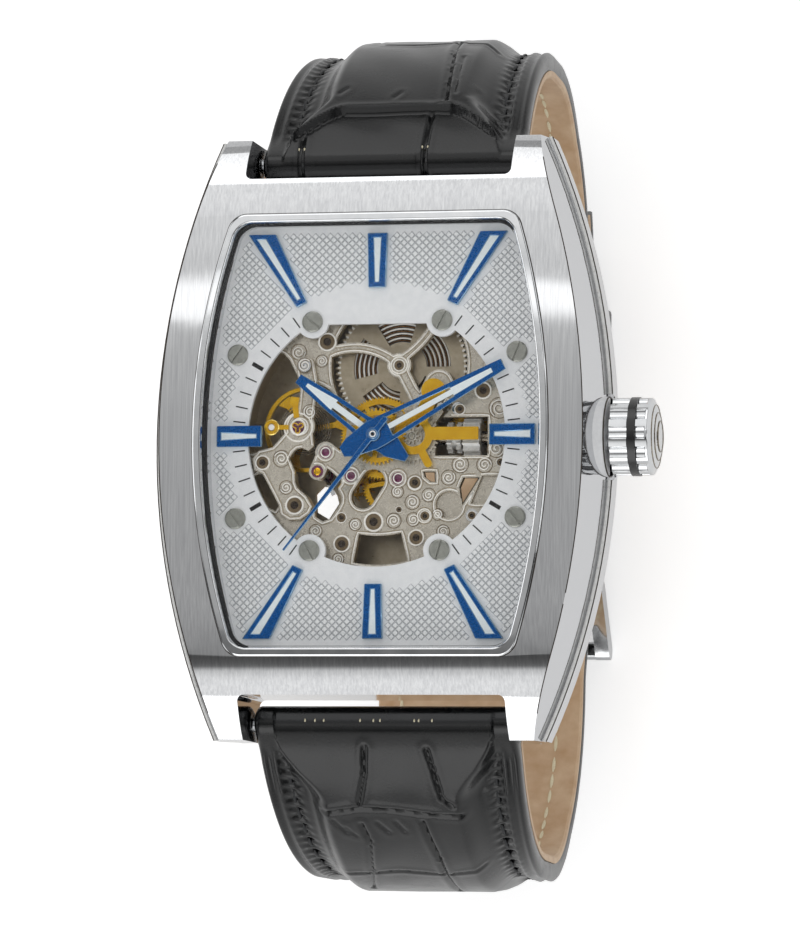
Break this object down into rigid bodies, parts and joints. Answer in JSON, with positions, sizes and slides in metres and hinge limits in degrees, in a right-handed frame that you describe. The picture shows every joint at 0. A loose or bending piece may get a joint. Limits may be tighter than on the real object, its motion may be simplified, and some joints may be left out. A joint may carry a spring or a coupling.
{
  "type": "skeleton watch",
  "caption": "Barrel-shaped steel skeleton watch with blue hands and markers, an open movement, fluted crown and buckled black leather strap.",
  "frame": {"origin": "centre of the case back's outer face, on the axis of the hands", "axes": "+Z out of the dial, +Y towards 12 o'clock, +X towards 3 o'clock and the crown"},
  "size_m": [0.0456, 0.0772, 0.0567],
  "materials": {
    "brushed_case": "vertically brushed with polished flanks",
    "polished_steel": "polished",
    "dark_steel": "satin",
    "nickel": "matt nickel",
    "gilt": "gilt",
    "ruby": "polished",
    "glass": "clear",
    "seal": "matt",
    "black_rubber": "satin",
    "holder": "matt",
    "silver_dial": "silvered, with a fine diamond pattern",
    "blue": "blued",
    "lume": "matt",
    "black_leather": "glossy, with an embossed scale pattern",
    "tan_leather": "matt"
  },
  "bodies": {
    "case": {"case_middle": "brushed_case", "bezel_ring": "polished_steel", "crystal": "glass", "crystal_gasket": "seal", "case_back": "brushed_case", "case_back_glass": "glass", "case_back_gasket": "seal", "case_back_screws": "polished_steel", "crown_tube": "polished_steel", "movement_holder": "holder", "dial": "silver_dial", "dial_screws": "polished_steel", "hour_markers": "blue", "marker_lume": "lume", "main_plate": "nickel", "setting_cover": "gilt", "hairspring": "blue", "balance_cock": "nickel", "train_bridge": "nickel", "barrel_bridge": "nickel", "jewels": "ruby", "movement_screws": "polished_steel", "rotor_bearing": "polished_steel", "strap_upper": "black_leather", "strap_upper_lining": "tan_leather", "strap_lower": "black_leather", "strap_lower_lining": "tan_leather", "spring_bars": "polished_steel", "keeper_fixed": "black_leather"},
    "winding_gears": {"winding_pinion": "dark_steel", "sliding_pinion": "dark_steel"},
    "crown_and_stem": {"crown": "polished_steel", "crown_ring": "black_rubber", "winding_stem": "dark_steel"},
    "crown_wheel_body": {"crown_wheel": "polished_steel"},
    "ratchet": {"ratchet_wheel": "polished_steel", "barrel_arbor": "polished_steel"},
    "centre": {"centre_wheel": "gilt", "cannon_pinion": "polished_steel", "minute_hand": "blue", "minute_hand_lume": "lume"},
    "hour": {"hour_wheel": "gilt", "hour_hand": "blue", "hour_hand_lume": "lume"},
    "minute_works": {"minute_wheel": "gilt"},
    "setting_works": {"setting_wheel": "polished_steel"},
    "barrel": {"barrel_drum": "nickel", "mainspring": "dark_steel"},
    "third": {"third_wheel": "gilt"},
    "fourth": {"fourth_wheel": "gilt", "second_hand": "blue"},
    "escape": {"escape_wheel": "gilt"},
    "pallets": {"pallet_fork": "polished_steel"},
    "balance": {"balance_wheel": "gilt", "balance_staff": "polished_steel"},
    "rotor": {"rotor_weight": "nickel"},
    "buckle": {"buckle_frame": "polished_steel", "buckle_bar": "polished_steel"},
    "tongue": {"buckle_tongue": "polished_steel"},
    "loose_keeper": {"keeper_free": "black_leather"}
  },
  "joints": [
    {"name": "crown_turn", "type": "hinge", "parent": "case", "child": "winding_gears", "pos_m": [0, 0, 0.005], "axis": [1, 0, 0], "continuous": true},
    {"name": "crown_pull", "type": "slide", "parent": "winding_gears", "child": "crown_and_stem", "axis": [1, 0, 0], "range_m": [0, 0.0014]},
    {"name": "crown_wheel_turn", "type": "hinge", "parent": "case", "child": "crown_wheel_body", "pos_m": [0.0082, 0.0026, 0], "axis": [0, 0, 1], "continuous": true},
    {"name": "ratchet_turn", "type": "hinge", "parent": "case", "child": "ratchet", "pos_m": [0.00175, 0.00635, 0], "axis": [0, 0, 1], "continuous": true},
    {"name": "minute_hand_turn", "type": "hinge", "parent": "case", "child": "centre", "pos_m": [0, 0, 0], "axis": [0, 0, 1], "continuous": true},
    {"name": "hour_hand_turn", "type": "hinge", "parent": "case", "child": "hour", "pos_m": [0, 0, 0], "axis": [0, 0, 1], "continuous": true},
    {"name": "minute_wheel_turn", "type": "hinge", "parent": "case", "child": "minute_works", "pos_m": [0.00305, 0, 0], "axis": [0, 0, 1], "continuous": true},
    {"name": "setting_wheel_turn", "type": "hinge", "parent": "case", "child": "setting_works", "pos_m": [0.00459, 0.00307, 0], "axis": [0, 0, 1], "continuous": true},
    {"name": "barrel_turn", "type": "hinge", "parent": "case", "child": "barrel", "pos_m": [0.00175, 0.00635, 0], "axis": [0, 0, 1], "continuous": true},
    {"name": "third_wheel_turn", "type": "hinge", "parent": "case", "child": "third", "pos_m": [0.00176, -0.00368, 0], "axis": [0, 0, 1], "continuous": true},
    {"name": "second_hand_turn", "type": "hinge", "parent": "case", "child": "fourth", "pos_m": [0, 0, 0], "axis": [0, 0, 1], "continuous": true},
    {"name": "escape_wheel_turn", "type": "hinge", "parent": "case", "child": "escape", "pos_m": [-0.00251, -0.00341, 0], "axis": [0, 0, 1], "continuous": true},
    {"name": "pallet_swing", "type": "hinge", "parent": "case", "child": "pallets", "pos_m": [-0.00554, -0.00301, 0], "axis": [0, 0, 1], "range_deg": [-5, 5]},
    {"name": "balance_swing", "type": "hinge", "parent": "case", "child": "balance", "pos_m": [-0.00705, 0.00095, 0], "axis": [0, 0, 1], "range_deg": [-270, 270], "stiffness_Nm_per_rad": 0.0000004},
    {"name": "rotor_turn", "type": "hinge", "parent": "case", "child": "rotor", "pos_m": [0, 0, 0], "axis": [0, 0, 1], "continuous": true},
    {"name": "buckle_swing", "type": "hinge", "parent": "case", "child": "buckle", "pos_m": [0, -0.0099, -0.0405], "axis": [1, 0, 0], "range_deg": [0, 18]},
    {"name": "tongue_lift", "type": "hinge", "parent": "buckle", "child": "tongue", "pos_m": [0, -0.0099, -0.0405], "axis": [1, 0, 0], "range_deg": [0, 8]},
    {"name": "keeper_slide", "type": "slide", "parent": "case", "child": "loose_keeper", "axis": [0, 1, 0], "range_m": [-0.0125, 0.0011]}
  ],
  "couplings": [
    {"joint": "crown_wheel_turn", "follows": "crown_turn", "ratio": -0.57143},
    {"joint": "ratchet_turn", "follows": "crown_turn", "ratio": 0.2963},
    {"joint": "hour_hand_turn", "follows": "minute_hand_turn", "ratio": 0.083333},
    {"joint": "minute_wheel_turn", "follows": "minute_hand_turn", "ratio": -0.33333},
    {"joint": "setting_wheel_turn", "follows": "minute_hand_turn", "ratio": 0.66667},
    {"joint": "barrel_turn", "follows": "minute_hand_turn", "ratio": -0.11111},
    {"joint": "third_wheel_turn", "follows": "minute_hand_turn", "ratio": -8},
    {"joint": "second_hand_turn", "follows": "minute_hand_turn", "ratio": 60},
    {"joint": "escape_wheel_turn", "follows": "minute_hand_turn", "ratio": -600}
  ]
}
